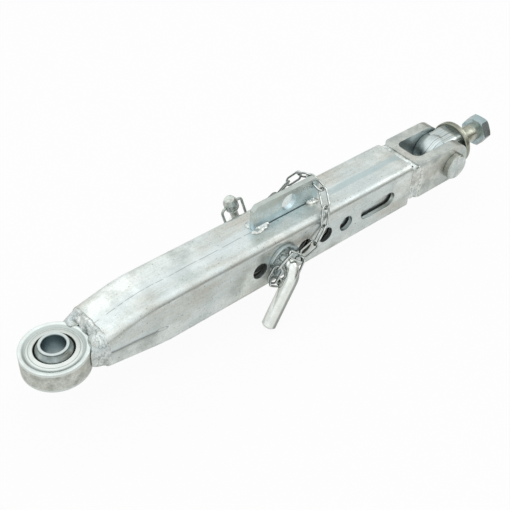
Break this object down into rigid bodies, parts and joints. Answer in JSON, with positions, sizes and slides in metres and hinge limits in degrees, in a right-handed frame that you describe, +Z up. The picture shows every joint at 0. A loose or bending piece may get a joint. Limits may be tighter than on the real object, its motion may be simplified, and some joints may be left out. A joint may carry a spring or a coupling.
{
  "type": "lower_link_stabilizer",
  "caption": "Telescopic lower link stabilizer in zinc-plated steel: square tubes with pin holes and slot, swivel ball end, clevis with eye stud, chained locking pin and linch pin.",
  "frame": {"origin": "centre of the swivel ball", "axes": "+X along the tubes from the ball to the clevis, +Z up along the ball's bore, -Y the side with the locking pin's handle"},
  "size_m": [0.6515, 0.111, 0.1251],
  "materials": {
    "zinc": "bright zinc plate",
    "zinc_blue": "blue zinc plate",
    "weld": "plated weld and forging skin",
    "pin_steel": "bright turned steel, zinc plated"
  },
  "bodies": {
    "outer_arm": {"outer_tube": "zinc", "ball_ring": "weld", "neck_weld": "weld", "chain_plate": "zinc_blue", "plate_weld_left": "weld", "plate_weld_right": "weld", "plate_link": "zinc"},
    "ball": {"swivel_ball": "zinc_blue"},
    "inner_arm": {"inner_tube": "zinc", "clevis": "zinc", "clevis_weld": "weld"},
    "clevis_bolt": {"clevis_pin": "zinc", "clevis_washer": "zinc", "roll_pin": "weld"},
    "knuckle": {"eye_stud": "pin_steel"},
    "nut": {"stud_nut": "zinc_blue"},
    "lock": {"locking_pin": "pin_steel", "pin_collar": "pin_steel", "linch_pin": "pin_steel", "loop_link_1": "zinc", "loop_link_2": "zinc", "loop_link_3": "zinc", "loop_link_4": "zinc", "loop_link_5": "zinc", "loop_link_6": "zinc"},
    "snap_ring": {"linch_ring": "pin_steel"},
    "front_chain": {"front_link_1": "zinc", "front_link_2": "zinc", "front_link_3": "zinc", "front_link_4": "zinc"},
    "rear_chain": {"rear_link_1": "zinc", "rear_link_2": "zinc", "rear_link_3": "zinc", "rear_link_4": "zinc", "rear_link_5": "zinc"}
  },
  "joints": [
    {"name": "ball_tilt", "type": "hinge", "parent": "outer_arm", "child": "ball", "pos_m": [0, 0, 0], "axis": [0, 1, 0], "range_deg": [-15, 15]},
    {"name": "telescope", "type": "slide", "parent": "outer_arm", "child": "inner_arm", "axis": [1, 0, 0], "range_m": [0, 0.031]},
    {"name": "clevis_pin_turn", "type": "hinge", "parent": "inner_arm", "child": "clevis_bolt", "pos_m": [0.527, 0, 0], "axis": [0, 1, 0], "continuous": true},
    {"name": "knuckle_swing", "type": "hinge", "parent": "inner_arm", "child": "knuckle", "pos_m": [0.527, 0, 0], "axis": [0, 1, 0], "range_deg": [-90, 90]},
    {"name": "nut_turn", "type": "hinge", "parent": "knuckle", "child": "nut", "pos_m": [0.608, 0, 0], "axis": [1, 0, 0], "continuous": true},
    {"name": "lock_turn", "type": "hinge", "parent": "outer_arm", "child": "lock", "pos_m": [0.255, 0, 0], "axis": [0, 1, 0], "range_deg": [-20, 5]},
    {"name": "snap_ring_flip", "type": "hinge", "parent": "lock", "child": "snap_ring", "pos_m": [0.24527, 0.045, 0.02996], "axis": [0.9511, 0, 0.309], "range_deg": [0, 110]},
    {"name": "front_chain_swing", "type": "hinge", "parent": "outer_arm", "child": "front_chain", "pos_m": [0.3245, -0.011, 0.0475], "axis": [0, -1, 0], "range_deg": [0, 10]},
    {"name": "rear_chain_swing", "type": "hinge", "parent": "outer_arm", "child": "rear_chain", "pos_m": [0.322, 0.0082, 0.0555], "axis": [1, 0, 0], "range_deg": [0, 12]}
  ]
}
